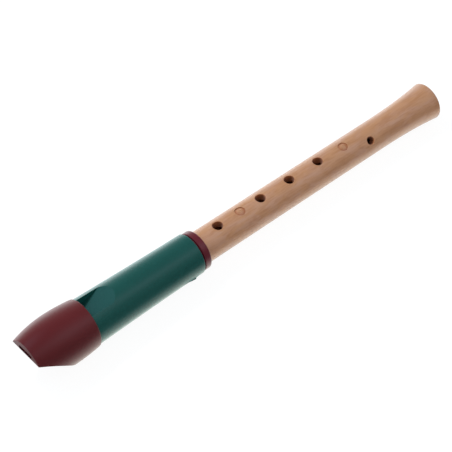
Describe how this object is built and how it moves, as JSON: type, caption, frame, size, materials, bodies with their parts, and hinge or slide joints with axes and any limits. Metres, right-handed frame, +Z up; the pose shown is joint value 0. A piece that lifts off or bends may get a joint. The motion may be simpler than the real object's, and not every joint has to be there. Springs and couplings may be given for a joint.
{
  "type": "soprano recorder",
  "caption": "Small recorder flute with a plastic head, beak cap and windway, and a turned wooden body with finger holes and a flared foot.",
  "frame": {"origin": "bottom centre of the bounding box: half way along the length, on the level that the beak cap's lowest point touches", "axes": "+X along the bore from the beak to the foot, +Z up through the finger holes, +Y across, so that -Y is the player's right-hand side"},
  "size_m": [0.3258, 0.0352, 0.0352],
  "materials": {
    "beak_cap": "dark red, satin",
    "block": "dark red, satin",
    "head_tube": "dark green, satin",
    "joint_ring": "dark red, satin",
    "cork_lapping": "cork",
    "recorder_body": "pale close-grained wood, oiled"
  },
  "bodies": {
    "head": {"beak_cap": "beak_cap", "block": "block", "head_tube": "head_tube"},
    "tenon_cork": {"cork_lapping": "cork_lapping"},
    "body": {"joint_ring": "joint_ring", "recorder_body": "recorder_body"}
  },
  "joints": [
    {"name": "tenon_pull", "type": "slide", "parent": "head", "child": "tenon_cork", "axis": [1, 0, 0], "range_m": [0, 0.024]},
    {"name": "body_twist", "type": "hinge", "parent": "tenon_cork", "child": "body", "pos_m": [-0.034, 0, 0.01758], "axis": [1, 0, 0], "continuous": true}
  ]
}
